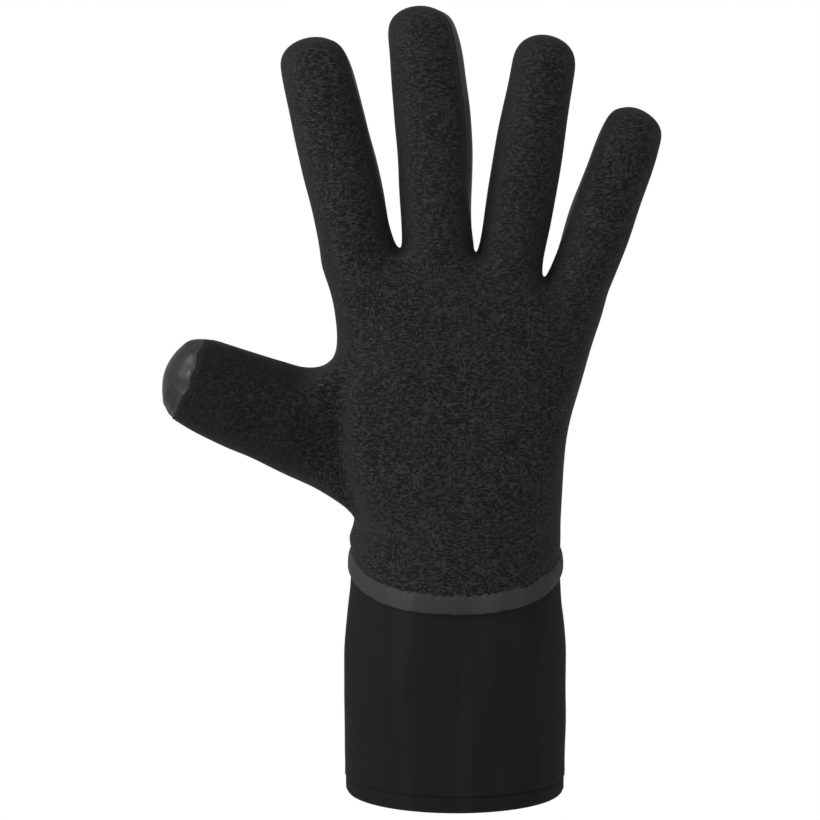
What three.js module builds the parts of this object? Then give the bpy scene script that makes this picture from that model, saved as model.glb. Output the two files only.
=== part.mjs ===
// Right-hand neoprene diving glove, fingers up, the back of the hand facing -Y.
// Millimetres. The origin is the centre of the wrist opening, in the plane of the hem.
import * as THREE from 'three';

// Cuff and hem
const WRIST_WIDTH = 76;
const WRIST_DEPTH = 50;
const CUFF_WIDTH = 81.2;
const CUFF_DEPTH = 55;
const SEAM_HEIGHT = 84;
const SEAM_TILT = 18;
const HEM_HEIGHT = 6.2;
const HEM_STEP = 0.9;
const CUFF_WALL = 3;

// Wrist band
const BAND_WIDTH = 7;
const BAND_THICKNESS = 0.9;

// Hand
const HAND_WALL = 2.8;
const HAND_HEIGHT = 116;
const PALM_DEPTH = 34;
const KNUCKLE_OFFSET = 3.6;
const WEB_ROLL = 3;
const SIDE_ROLL = 5;
const CURL = 6;

// Fingers
const INDEX_LENGTH = 77;
const INDEX_WIDTH = 26.5;
const INDEX_DEPTH = 25;
const INDEX_LEAN = -9.9;
const INDEX_BOW = -4.1;
const MIDDLE_LENGTH = 85.5;
const MIDDLE_WIDTH = 27.1;
const MIDDLE_DEPTH = 25.5;
const MIDDLE_LEAN = -0.2;
const MIDDLE_BOW = -6;
const RING_LENGTH = 81;
const RING_WIDTH = 23.9;
const RING_DEPTH = 24.5;
const RING_LEAN = 9.6;
const LITTLE_LENGTH = 63.4;
const LITTLE_WIDTH = 23;
const LITTLE_DEPTH = 22.5;
const LITTLE_LEAN = 19.3;
const INDEX_MIDDLE_GAP = 3.1;
const MIDDLE_RING_GAP = 1.3;
const RING_LITTLE_GAP = 1.3;
const INDEX_SIDE_DROP = 2.5;
const MIDDLE_RING_DROP = 0.7;
const RING_LITTLE_DROP = 10;
const LITTLE_SIDE_DROP = 12;

// Thumb
const THUMB_LENGTH = 64;
const THUMB_WIDTH = 35;
const THUMB_DEPTH = 29;
const THUMB_RISE = 19.2;
const THUMB_LIFT = 0.6;
const THUMB_CURL = 12;

// Fits
const SEAM_GAP = 0.3;
const FIT_GAP = 0.3;

// Facets and fitting of the skin
const PALM_COLUMNS = 20;
const TUBE_COLUMNS = 8;
const FIT_ROUNDS = 24;
const HALF_COLUMNS = PALM_COLUMNS / 2;
const RING_POINTS = 2 * PALM_COLUMNS;

// One row for each finger, from the thumb side: base is its width at the root as a share of
// its width, left and right turn its side seams towards the back of the hand, in degrees.
// At the web on its right, gap is the room to the next finger and drop is how far the web
// lies below the highest one.
const FINGERS = [
  { length: INDEX_LENGTH, width: INDEX_WIDTH, depth: INDEX_DEPTH, lean: INDEX_LEAN,
    bow: INDEX_BOW, base: 0.99, left: 0, right: 14, gap: INDEX_MIDDLE_GAP, drop: 0 },
  { length: MIDDLE_LENGTH, width: MIDDLE_WIDTH, depth: MIDDLE_DEPTH, lean: MIDDLE_LEAN,
    bow: MIDDLE_BOW, base: 0.91, left: 0, right: 38, gap: MIDDLE_RING_GAP,
    drop: MIDDLE_RING_DROP },
  { length: RING_LENGTH, width: RING_WIDTH, depth: RING_DEPTH, lean: RING_LEAN, bow: 0,
    base: 0.98, left: 0, right: 16, gap: RING_LITTLE_GAP, drop: RING_LITTLE_DROP },
  { length: LITTLE_LENGTH, width: LITTLE_WIDTH, depth: LITTLE_DEPTH, lean: LITTLE_LEAN,
    bow: 0, base: 0.98, left: 24, right: 0, gap: 0, drop: LITTLE_SIDE_DROP },
];

// Shares of a finger at its root: how far its face, its web and its outer side columns stand
// off the middle of its depth, how far in the outer side columns stand, and how far along
// the finger its own width and its turned seams are reached.
const ROOT_FACE = 0.54;
const ROOT_WEB = 0.4;
const ROOT_SIDE = 0.39;
const SIDE_INSET = 0.16;
const ROOT_SPREAD = 0.45;
const SEAM_TURN = 0.2;

// Sections of a finger: along is a share of its length, the others of its width and depth.
const FINGER_SECTIONS = [
  { along: 0.05, width: 1.0, depth: 1.05 },
  { along: 0.26, width: 1.0, depth: 1.02 },
  { along: 0.48, width: 1.0, depth: 1.0 },
  { along: 0.68, width: 0.99, depth: 0.97 },
  { along: 0.83, width: 0.945, depth: 0.9 },
  { along: 0.945, width: 0.76, depth: 0.66 },
];

// Sections of the thumb: turn is the share of its rise that the section has turned by. The
// cap of palm rubber starts at one of them.
const THUMB_SECTIONS = [
  { along: 0.16, width: 1.17, depth: 1.12, turn: 0.3 },
  { along: 0.32, width: 1.09, depth: 1.08, turn: 0.6 },
  { along: 0.5, width: 1.04, depth: 1.03, turn: 1 },
  { along: 0.69, width: 1.0, depth: 0.965, turn: 1 },
  { along: 0.865, width: 0.88, depth: 0.79, turn: 1 },
  { along: 0.955, width: 0.6, depth: 0.5, turn: 1 },
];
const CAP_SECTION = 4;

// Sections of the palm: rise is a share of the hand's height, left and right are shares of
// the way out from the wrist's edge to the knuckles' edge, depth is a share of the way from
// the wrist's depth to the palm's, tilt and fall are shares of the seam's tilt and of the
// webs' drop, and power squares the oval.
const PALM_SECTIONS = [
  { rise: 0, left: 0, right: 0, depth: 0, tilt: 1, fall: 0, power: 2 },
  { rise: 0.04, left: 0, right: 0, depth: 0, tilt: 1, fall: 0, power: 2 },
  { rise: 0.085, left: 0, right: 0, depth: 0.02, tilt: 0.9, fall: 0, power: 2 },
  { rise: 0.185, left: 0.05, right: 0, depth: 0.2, tilt: 0.35, fall: 0, power: 2.1 },
  { rise: 0.42, left: 0.7, right: 0.13, depth: 0.45, tilt: 0, fall: 0, power: 2.8 },
  { rise: 0.675, left: 0.48, right: 0.49, depth: 0.75, tilt: 0, fall: 0.2, power: 2.6 },
  { rise: 0.84, left: 0.55, right: 0.75, depth: 1, tilt: 0, fall: 0.6, power: 2.5 },
];
const THUMB_ROW = 3;

// Sections of the cuff, from the hem up: rise is a share of its height, widen of the way
// from the wrist's size to the cuff's.
const CUFF_SECTIONS = [
  { rise: 0, widen: 1 },
  { rise: 0.3, widen: 0.96 },
  { rise: 0.55, widen: 0.97 },
  { rise: 0.8, widen: 0.55 },
  { rise: 0.92, widen: 0.2 },
];

const radians = (degrees) => THREE.MathUtils.degToRad(degrees);
const mix = (a, b, share) => a + (b - a) * share;
const point = (x, y, z) => new THREE.Vector3(x, y, z);

// A finger's place follows from the widths of the fingers before it and the gaps between.
function fingerRoots() {
  const roots = [];
  const widths = FINGERS.map((f) => (f.width * f.base) / Math.cos(radians(f.lean)));
  const total = FINGERS.reduce((sum, finger, i) => sum + widths[i] + finger.gap, 0);
  let x = KNUCKLE_OFFSET - total / 2;
  let gap = 0;
  let drop = INDEX_SIDE_DROP;
  FINGERS.forEach((finger, i) => {
    const edge = x + gap / 2;
    const right = edge + widths[i] + finger.gap / 2;
    const centre = { x: edge + widths[i] / 2, drop: (drop + finger.drop) / 2 };
    roots.push({ left: x, right, leftDrop: drop, rightDrop: finger.drop, centre });
    x = right;
    gap = finger.gap;
    drop = finger.drop;
  });
  return roots;
}

const ROOTS = fingerRoots();
const WEB_HEIGHT = SEAM_HEIGHT + HAND_HEIGHT;
const KNUCKLE_LEFT = ROOTS[0].left;
const KNUCKLE_RIGHT = ROOTS[3].right;
const SEAM_SLOPE = Math.tan(radians(SEAM_TILT));

// How far the row of finger roots lies below the highest web, at a share of its width.
function rootDrop(share) {
  const x = mix(KNUCKLE_LEFT, KNUCKLE_RIGHT, share);
  const root = ROOTS.find((r) => x <= r.right) ?? ROOTS[3];
  return mix(root.leftDrop, root.rightDrop, (x - root.left) / (root.right - root.left));
}

// Where each palm column stands across the knuckles, as a share of their width.
function knuckleShares() {
  const places = [KNUCKLE_LEFT];
  ROOTS.forEach((root, i) => {
    const width = root.right - root.left;
    if (i === 0) places.push(root.left + SIDE_INSET * width);
    places.push(root.centre.x);
    if (i === 3) places.push(root.right - SIDE_INSET * width);
    places.push(root.right);
  });
  return places.map((x) => (x - KNUCKLE_LEFT) / (KNUCKLE_RIGHT - KNUCKLE_LEFT));
}

const TOP_SHARES = knuckleShares();

// The palm's columns run from the thumb side over the back of the hand, and home again.
function palmPoint(section, column) {
  const across = column <= HALF_COLUMNS ? column : PALM_COLUMNS - column;
  const facing = column <= HALF_COLUMNS ? -1 : 1;
  const oval = (1 - Math.cos((Math.PI * across) / HALF_COLUMNS)) / 2;
  const share = mix(oval, TOP_SHARES[across], section.rise ** 2);
  const left = mix(-WRIST_WIDTH / 2, KNUCKLE_LEFT, section.left);
  const right = mix(WRIST_WIDTH / 2, KNUCKLE_RIGHT, section.right);
  const depth = mix(WRIST_DEPTH, PALM_DEPTH, section.depth);
  const u = Math.min(1, Math.abs(2 * share - 1));
  const y = facing * (depth / 2) * (1 - u ** section.power) ** (1 / section.power);
  const fall = section.fall * rootDrop(share);
  const z = SEAM_HEIGHT + section.rise * HAND_HEIGHT - fall + section.tilt * SEAM_SLOPE * y;
  return point(mix(left, right, share), y, z);
}

// The outer side of the hand lies on the side line of the end finger, below its root.
function sideX(end) {
  const root = ROOTS[end];
  const lean = radians(FINGERS[end].lean);
  const rise = root.centre.drop - (end ? root.rightDrop : root.leftDrop) - SIDE_ROLL;
  return (end ? root.right : root.left) + rise * Math.tan(lean);
}

// The last row of the palm is the row of finger roots and the webs between them.
function rootPoint(column) {
  const across = column <= HALF_COLUMNS ? column : PALM_COLUMNS - column;
  const facing = column <= HALF_COLUMNS ? -1 : 1;
  const share = TOP_SHARES[across];
  const i = Math.min(3, Math.max(0, Math.floor((across - 1) / 2)));
  const atSide = across === 0 || across === HALF_COLUMNS;
  const atWeb = across === 3 || across === 5 || across === 7;
  const nearSide = across === 1 || across === HALF_COLUMNS - 1;
  let reach = ROOT_FACE;
  let roll = 0;
  if (nearSide) reach = ROOT_SIDE;
  if (atSide) {
    reach = 0;
    roll = SIDE_ROLL;
  }
  if (atWeb) {
    reach = ROOT_WEB;
    roll = WEB_ROLL;
  }
  const z = WEB_HEIGHT - rootDrop(share) - roll;
  const x = atSide ? sideX(i) : mix(KNUCKLE_LEFT, KNUCKLE_RIGHT, share);
  return point(x, facing * reach * FINGERS[i].depth, z);
}

// The angles of a tube's columns, with its two seam columns turned towards the back.
function tubeAngles(left, right) {
  const angles = [];
  for (let c = 0; c < TUBE_COLUMNS; c += 1) {
    const front = mix(left, 180 - right, c / 4);
    const back = mix(180 - right, 360 + left, (c - 4) / 4);
    angles.push(radians(c <= 4 ? front : back));
  }
  return angles;
}

function tubeRing(centre, across, width, depth, angles) {
  return angles.map((angle) => {
    const side = across.clone().multiplyScalar(-Math.cos(angle) * (width / 2));
    return centre.clone().add(side).add(point(0, -Math.sin(angle) * (depth / 2), 0));
  });
}

// The rings of a finger, from its root to its tip, and the point that closes it.
function fingerRings(finger, root) {
  const lean = radians(finger.lean);
  const axis = point(Math.sin(lean), 0, Math.cos(lean));
  const across = point(Math.cos(lean), 0, -Math.sin(lean));
  const base = point(root.centre.x, 0, WEB_HEIGHT - root.centre.drop);
  const centreAt = (along) => base.clone()
    .addScaledVector(axis, along * finger.length)
    .addScaledVector(across, finger.bow * along * along)
    .add(point(0, CURL * along * along, 0));
  const rings = FINGER_SECTIONS.map((section) => {
    const spread = Math.min(1, section.along / ROOT_SPREAD);
    const width = finger.width * section.width * mix(finger.base, 1, spread);
    const turn = Math.min(1, section.along / SEAM_TURN);
    const angles = tubeAngles(finger.left * turn, finger.right * turn);
    return tubeRing(centreAt(section.along), across, width, finger.depth * section.depth, angles);
  });
  return { rings, tip: centreAt(1) };
}

// The thumb leaves the side of the palm, a little above its hollow, and turns up by its rise.
function thumbRings(base) {
  const rise = radians(THUMB_RISE);
  const axis = point(-Math.cos(rise), 0, Math.sin(rise));
  const centreAt = (along) => base.clone()
    .addScaledVector(axis, along * THUMB_LENGTH)
    .add(point(0, THUMB_CURL * along ** 1.5, THUMB_LIFT));
  const rings = THUMB_SECTIONS.map((section) => {
    const turn = rise * section.turn;
    const across = point(Math.sin(turn), 0, Math.cos(turn));
    const width = THUMB_WIDTH * section.width;
    const depth = THUMB_DEPTH * section.depth;
    return tubeRing(centreAt(section.along), across, width, depth, tubeAngles(0, 0));
  });
  return { rings, tip: centreAt(1) };
}

// The net of four-sided faces over the whole hand. Each face is marked with its panel.
function handNet() {
  const points = [];
  const faces = [];
  const add = (p) => points.push(p) - 1;
  const face = (corners, panel) => faces.push({ corners, panel });

  const palm = PALM_SECTIONS.map((section) =>
    Array.from({ length: PALM_COLUMNS }, (_, c) => add(palmPoint(section, c))));
  palm.push(Array.from({ length: PALM_COLUMNS }, (_, c) => add(rootPoint(c))));
  const hollow = points[palm[THUMB_ROW + 1][0]].clone();
  for (let r = 0; r + 1 < palm.length; r += 1) {
    for (let c = 0; c < PALM_COLUMNS; c += 1) {
      const next = (c + 1) % PALM_COLUMNS;
      const underThumb = r === THUMB_ROW || r === THUMB_ROW + 1;
      if (underThumb && (c === 0 || next === 0)) continue;
      const panel = c < HALF_COLUMNS ? 'back_panel' : 'palm_panel';
      face([palm[r][c], palm[r][next], palm[r + 1][next], palm[r + 1][c]], panel);
    }
  }

  const tube = (rootRing, rings, tip, capFrom) => {
    const loops = [rootRing, ...rings.map((ring) => ring.map(add))];
    const top = add(tip);
    const last = loops.length - 1;
    const panelOf = (k, c) => (c < 4 && k < capFrom ? 'back_panel' : 'palm_panel');
    for (let k = 0; k < last; k += 1) {
      for (let c = 0; c < TUBE_COLUMNS; c += 1) {
        const next = (c + 1) % TUBE_COLUMNS;
        const corners = [loops[k][c], loops[k][next], loops[k + 1][next], loops[k + 1][c]];
        face(corners, panelOf(k, c));
      }
    }
    for (let c = 0; c < TUBE_COLUMNS; c += 2) {
      const loop = loops[last];
      face([loop[c], loop[c + 1], loop[(c + 2) % TUBE_COLUMNS], top], panelOf(last, c));
    }
  };

  const top = palm[palm.length - 1];
  const webs = ROOTS.slice(0, 3).map((root) =>
    add(point(root.right, 0, WEB_HEIGHT - root.rightDrop)));
  FINGERS.forEach((finger, i) => {
    const left = i === 0 ? top[0] : webs[i - 1];
    const right = i === 3 ? top[HALF_COLUMNS] : webs[i];
    const front = [top[1 + 2 * i], top[2 + 2 * i], top[3 + 2 * i]];
    const back = [top[17 - 2 * i], top[18 - 2 * i], top[19 - 2 * i]];
    const { rings, tip } = fingerRings(finger, ROOTS[i]);
    tube([left, ...front, right, ...back], rings, tip, Infinity);
  });

  const [low, middle, high] = [0, 1, 2].map((step) => palm[THUMB_ROW + step]);
  const end = PALM_COLUMNS - 1;
  const mouth = [low[0], low[1], middle[1], high[1], high[0], high[end], middle[end], low[end]];
  const thumb = thumbRings(hollow);
  tube(mouth, thumb.rings, thumb.tip, CAP_SECTION + 1);
  return compact(points, faces);
}

// Leaves out the points that no face uses.
function compact(points, faces) {
  const used = new Map();
  faces.forEach(({ corners }) => corners.forEach((v) => {
    if (!used.has(v)) used.set(v, used.size);
  }));
  const kept = [...used.keys()].map((v) => points[v]);
  return { points: kept, faces: faces.map(({ corners, panel }) =>
    ({ corners: corners.map((v) => used.get(v)), panel })) };
}

// What meets at each point of a net: its edges, its faces' far corners and its open rim.
function neighbours(net) {
  const around = net.points.map(() => ({ edges: new Map(), far: [] }));
  net.faces.forEach(({ corners }) => {
    corners.forEach((v, i) => {
      const next = corners[(i + 1) % 4];
      const previous = corners[(i + 3) % 4];
      around[v].far.push(corners[(i + 2) % 4]);
      [next, previous].forEach((w) => {
        around[v].edges.set(w, (around[v].edges.get(w) ?? 0) + 1);
      });
    });
  });
  return around.map(({ edges, far }) => ({
    edges: [...edges.keys()],
    rim: [...edges.entries()].filter(([, count]) => count === 1).map(([w]) => w),
    far,
  }));
}

const sumOf = (points, list) => list.reduce((sum, v) => sum.add(points[v]), point(0, 0, 0));

// Where the smooth surface passes for each point of a net, after Catmull and Clark.
function smoothPoints(net, points) {
  return net.around.map(({ edges, rim, far }, v) => {
    if (rim.length) {
      return points[v].clone().multiplyScalar(4).add(sumOf(points, rim)).divideScalar(6);
    }
    const n = edges.length;
    return points[v].clone().multiplyScalar(n * n)
      .addScaledVector(sumOf(points, edges), 4)
      .add(sumOf(points, far))
      .divideScalar(n * (n + 5));
  });
}

// Moves the net's points until the smooth surface passes through their first places.
function fitNet(net) {
  const aims = net.points;
  let points = aims.map((p) => p.clone());
  for (let round = 0; round < FIT_ROUNDS; round += 1) {
    const reached = smoothPoints(net, points);
    points = points.map((p, v) => p.clone().add(aims[v]).sub(reached[v]));
  }
  return { ...net, points };
}

// One round of subdivision: each face becomes four.
function subdivide(net) {
  const { points, faces, around } = net;
  const centres = faces.map(({ corners }) => sumOf(points, corners).divideScalar(4));
  const facesAt = points.map(() => []);
  const middles = new Map();
  faces.forEach(({ corners }, f) => corners.forEach((v, i) => {
    facesAt[v].push(f);
    const next = corners[(i + 1) % 4];
    const key = Math.min(v, next) * points.length + Math.max(v, next);
    if (!middles.has(key)) middles.set(key, { ends: [v, next], faces: [], index: 0 });
    middles.get(key).faces.push(f);
  }));
  const out = points.map((p, v) => {
    const { edges, rim } = around[v];
    if (rim.length) return p.clone().multiplyScalar(6).add(sumOf(points, rim)).divideScalar(8);
    const n = edges.length;
    const edgeMean = sumOf(points, edges).divideScalar(n);
    const faceMean = sumOf(centres, facesAt[v]).divideScalar(n);
    return p.clone().multiplyScalar(n - 2).add(edgeMean).add(faceMean).divideScalar(n);
  });
  middles.forEach((middle) => {
    const ends = sumOf(points, middle.ends);
    const inner = middle.faces.length === 2;
    const place = inner ? ends.add(sumOf(centres, middle.faces)).divideScalar(4)
      : ends.divideScalar(2);
    middle.index = out.push(place) - 1;
  });
  const firstCentre = out.length;
  out.push(...centres);
  const split = [];
  faces.forEach(({ corners, panel }, f) => corners.forEach((v, i) => {
    const keyTo = (w) => middles.get(Math.min(v, w) * points.length + Math.max(v, w)).index;
    const next = keyTo(corners[(i + 1) % 4]);
    const previous = keyTo(corners[(i + 3) % 4]);
    split.push({ corners: [v, next, firstCentre + f, previous], panel });
  }));
  return { points: out, faces: split };
}

// The outward normal of the surface at each point, weighed by the faces' areas.
function normalsOf(points, faces) {
  const normals = points.map(() => point(0, 0, 0));
  faces.forEach(({ corners }) => {
    const [a, b, c, d] = corners.map((v) => points[v]);
    const normal = c.clone().sub(a).cross(d.clone().sub(b));
    corners.forEach((v) => normals[v].add(normal));
  });
  return normals.map((n) => n.normalize());
}

// The rim edges of a set of faces, each with the face's own direction.
function rimEdges(faces) {
  const edges = new Map();
  faces.forEach(({ corners }) => corners.forEach((v, i) => {
    const w = corners[(i + 1) % 4];
    if (!edges.delete(w + ',' + v)) edges.set(v + ',' + w, [v, w]);
  }));
  return [...edges.values()];
}

// One panel of the hand: its faces, the same faces a wall further in, and the walls of its
// rims, which are drawn back by half of the seam's gap.
function panelGeometry(net, normals, panel) {
  const faces = net.faces.filter((f) => f.panel === panel);
  const rims = rimEdges(faces);
  const inward = new Map();
  rims.forEach(([v, w]) => [v, w].forEach((end) => {
    const along = net.points[w].clone().sub(net.points[v]).normalize();
    const back = normals[end].clone().cross(along);
    inward.set(end, (inward.get(end) ?? point(0, 0, 0)).add(back));
  }));
  const outer = net.points.map((p, v) => {
    const back = inward.get(v);
    if (!back) return p.clone();
    return p.clone().addScaledVector(back.normalize(), SEAM_GAP / 2);
  });
  const inner = outer.map((p, v) => p.clone().addScaledVector(normals[v], -HAND_WALL));
  const count = outer.length;
  const quads = faces.map(({ corners }) => corners);
  const walls = rims.map(([v, w]) => [w, v, v + count, w + count]);
  const insides = quads.map(([a, b, c, d]) => [d + count, c + count, b + count, a + count]);
  return solid([...outer, ...inner], [...quads, ...insides, ...walls]);
}

// A closed body from points and four-sided faces that point outwards.
function solid(points, quads) {
  const used = new Map();
  const positions = [];
  const indexOf = (v) => {
    if (!used.has(v)) {
      used.set(v, used.size);
      positions.push(points[v].x, points[v].y, points[v].z);
    }
    return used.get(v);
  };
  const triangles = [];
  quads.forEach((quad) => {
    const [a, b, c, d] = quad.map(indexOf);
    const [p, q, r, s] = quad.map((v) => points[v]);
    const short = p.distanceTo(r) <= q.distanceTo(s);
    triangles.push(...(short ? [a, b, c, a, c, d] : [a, b, d, b, c, d]));
  });
  const geometry = new THREE.BufferGeometry();
  geometry.setAttribute('position', new THREE.Float32BufferAttribute(positions, 3));
  geometry.setIndex(triangles);
  geometry.computeVertexNormals();
  return geometry;
}

// A ring's outline is the wrist's oval, widened to a share of the cuff's size and let out
// by a margin. Its height may follow the tilt of the seam.
function ovalRing(widen, margin, height, tilt) {
  const a = mix(WRIST_WIDTH, CUFF_WIDTH, widen) / 2 + margin;
  const b = mix(WRIST_DEPTH, CUFF_DEPTH, widen) / 2 + margin;
  return Array.from({ length: RING_POINTS }, (_, i) => {
    const angle = Math.PI + (2 * Math.PI * i) / RING_POINTS;
    const y = b * Math.sin(angle);
    const level = (WRIST_DEPTH / 2) * Math.sin(angle);
    return point(a * Math.cos(angle), y, height + tilt * SEAM_SLOPE * level);
  });
}

// A closed tube wall from its outer rings and its inner rings, both listed upwards.
function sleeve(outer, inner) {
  const rings = [...outer, ...inner.reverse()];
  const points = rings.flat();
  const quads = [];
  rings.forEach((_, r) => {
    const above = (r + 1) % rings.length;
    for (let i = 0; i < RING_POINTS; i += 1) {
      const next = (i + 1) % RING_POINTS;
      const low = r * RING_POINTS;
      const high = above * RING_POINTS;
      quads.push([low + i, low + next, high + next, high + i]);
    }
  });
  return solid(points, quads);
}

function cuffGeometry() {
  const low = HEM_HEIGHT + FIT_GAP;
  const high = SEAM_HEIGHT - SEAM_GAP / 2;
  const bandReach = BAND_WIDTH / 2 + FIT_GAP;
  const rings = (margin) => [
    ...CUFF_SECTIONS.map(({ rise, widen }) => {
      const height = mix(low, high - bandReach, rise);
      return ovalRing(widen, margin, height, rise * rise);
    }),
    ovalRing(0, margin, high - bandReach, 1),
    ovalRing(0, margin, high, 1),
  ];
  return sleeve(rings(0), rings(-CUFF_WALL));
}

function hemGeometry() {
  const rings = (margin) => [0, HEM_HEIGHT].map((z) => ovalRing(1, margin, z, 0));
  return sleeve(rings(-HEM_STEP), rings(-CUFF_WALL));
}

function bandGeometry() {
  const rings = (margin) => [-BAND_WIDTH / 2, BAND_WIDTH / 2].map((offset) =>
    ovalRing(0, margin, SEAM_HEIGHT + offset, 1));
  return sleeve(rings(FIT_GAP + BAND_THICKNESS), rings(FIT_GAP));
}

const finish = (color, roughness) =>
  new THREE.MeshStandardMaterial({ color, roughness, metalness: 0 });

function piece(name, geometry, material) {
  const mesh = new THREE.Mesh(geometry, material);
  mesh.name = name;
  return mesh;
}

function buildGlove() {
  const cage = handNet();
  cage.around = neighbours(cage);
  const skin = subdivide(fitNet(cage));
  skin.around = neighbours(skin);
  skin.points = smoothPoints(skin, skin.points);
  const normals = normalsOf(skin.points, skin.faces);
  const glove = new THREE.Group();
  const fabric = finish(0x262627, 0.95);
  const rubber = finish(0x36373a, 0.5);
  glove.add(piece('back_panel', panelGeometry(skin, normals, 'back_panel'), fabric));
  glove.add(piece('palm_panel', panelGeometry(skin, normals, 'palm_panel'), rubber));
  glove.add(piece('wrist_seam_band', bandGeometry(), finish(0x3a3b3e, 0.45)));
  glove.add(piece('cuff', cuffGeometry(), finish(0x222225, 0.7)));
  glove.add(piece('cuff_hem', hemGeometry(), finish(0x1c1c1f, 0.75)));
  return glove;
}

export default buildGlove();
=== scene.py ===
"""A right-hand neoprene diving glove, seen from the back of the hand.

Shapes are worked out in millimetres in the glove's own frame and put into metres when
their meshes are made: +Z up to the fingertips, the back of the hand facing -Y.
"""
import math

import bpy
import numpy as np
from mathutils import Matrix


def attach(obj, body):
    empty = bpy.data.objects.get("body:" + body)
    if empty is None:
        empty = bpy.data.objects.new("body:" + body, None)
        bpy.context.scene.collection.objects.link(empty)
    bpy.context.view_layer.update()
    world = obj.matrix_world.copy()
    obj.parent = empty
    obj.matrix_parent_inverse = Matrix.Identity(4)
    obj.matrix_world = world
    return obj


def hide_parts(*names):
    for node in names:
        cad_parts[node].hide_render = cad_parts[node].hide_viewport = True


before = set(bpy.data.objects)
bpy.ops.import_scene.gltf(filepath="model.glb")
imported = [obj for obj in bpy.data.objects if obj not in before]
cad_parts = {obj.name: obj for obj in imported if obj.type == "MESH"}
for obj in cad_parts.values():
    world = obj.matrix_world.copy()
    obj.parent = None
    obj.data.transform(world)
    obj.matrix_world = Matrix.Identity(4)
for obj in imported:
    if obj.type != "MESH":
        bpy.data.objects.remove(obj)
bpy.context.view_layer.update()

MM = 0.001

# Cuff, hem and band
WRIST_WIDTH = 76.0
WRIST_DEPTH = 50.0
CUFF_WIDTH = 81.2
CUFF_DEPTH = 55.0
SEAM_HEIGHT = 84.0
SEAM_SLOPE = math.tan(math.radians(18.0))
SEAM_BOW = 3.2
HEM_HEIGHT = 6.2
HEM_TUCK = 0.35
CUFF_WALL = 3.0
BAND_WIDTH = 7.0
BAND_THICKNESS = 0.9
FIT_GAP = 0.3
SLEEVE_COLUMNS = 144

# The cuff: its height over the hem as a share of the gap, and its rows from the hem up
CUFF_SEAT = 0.7
CUFF_ROWS = 46
CUFF_LAST_ROW = 0.955
CUFF_NARROWS = (0.57, 0.97)
CUFF_TILTED = 0.95
CUFF_EDGE = np.array([(-0.55, 0.0), (-0.2, 0.07), (-0.03, 0.3)])

# The hem's section: out from the cuff's size and up from the bottom of the glove
HEM_TOP = HEM_HEIGHT + FIT_GAP / 2
HEM_OUTER = [(-1.9, 0.0), (-1.2, 0.15), (-0.8, 0.6), (-HEM_TUCK, 1.6), (-HEM_TUCK, 4.4),
             (-HEM_TUCK, HEM_TOP)]
HEM_INNER = [(-CUFF_WALL, HEM_TOP), (-CUFF_WALL, 0.5), (-CUFF_WALL + 0.3, 0.0)]

# Hand
HAND_WALL = 2.8
HAND_HEIGHT = 116.0
PALM_DEPTH = 34.0
KNUCKLE_OFFSET = 3.6
WEB_ROLL = 3.0
SIDE_ROLL = 5.0
NEAR_ROLL = 5.5
NEAR_LEAN = 2.0
CURL = 6.0
SEAM_GAP = 0.3
WEB_HEIGHT = SEAM_HEIGHT + HAND_HEIGHT
INDEX_SIDE_DROP = 2.5

# Thumb
THUMB_LENGTH = 64.0
THUMB_WIDTH = 35.0
THUMB_DEPTH = 29.0
THUMB_RISE = math.radians(19.2)
THUMB_LIFT = 0.6
THUMB_CURL = 12.0

# Net of the skin
PALM_COLUMNS = 20
HALF_COLUMNS = 10
WEB_COLUMNS = (3, 5, 7)
TUBE_COLUMNS = 8
HALF_TUBE = 4
FIT_ROUNDS = 24
SKIN_ROUNDS = 3
SEARCH_BLOCKS = 40
BACK, PALM = 0, 1

# A row for each finger from the thumb side; lean and the turns of its seams are in degrees
FINGER_FIELDS = ("length", "width", "depth", "lean", "bow", "base", "left", "right",
                 "gap", "drop")
FINGER_ROWS = [
    (77.0, 26.5, 25.0, -9.9, -4.1, 0.99, 0.0, 25.0, 3.1, 0.0),
    (85.5, 27.1, 25.5, -0.2, -6.0, 0.91, 0.0, 38.0, 1.3, 0.7),
    (81.0, 23.9, 24.5, 9.6, 0.0, 0.98, 0.0, 16.0, 1.3, 10.0),
    (63.4, 23.0, 22.5, 19.3, 0.0, 0.98, 24.0, 0.0, 0.0, 12.0),
]
FINGERS = [dict(zip(FINGER_FIELDS, row)) for row in FINGER_ROWS]

# Sections of a finger: along it, width and depth, as shares of the finger's own
FINGER_SECTIONS = np.array([
    (0.05, 1.0, 1.05),
    (0.26, 1.0, 1.02),
    (0.48, 1.0, 1.0),
    (0.68, 0.99, 0.97),
    (0.83, 0.945, 0.9),
    (0.945, 0.76, 0.66),
])
ROOT_FACE, ROOT_WEB, ROOT_SIDE = 0.54, 0.4, 0.39
SIDE_INSET = 0.16
ROOT_SPREAD = 0.45
SEAM_TURN = 0.2

# Sections of the thumb: along, width, depth and turn, as shares
THUMB_SECTIONS = np.array([
    (0.16, 1.17, 1.12, 0.3),
    (0.32, 1.09, 1.08, 0.6),
    (0.5, 1.04, 1.03, 1.0),
    (0.69, 1.0, 0.965, 1.0),
    (0.865, 0.88, 0.79, 1.0),
    (0.955, 0.6, 0.5, 1.0),
])
CAP_SECTION = 4

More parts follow.
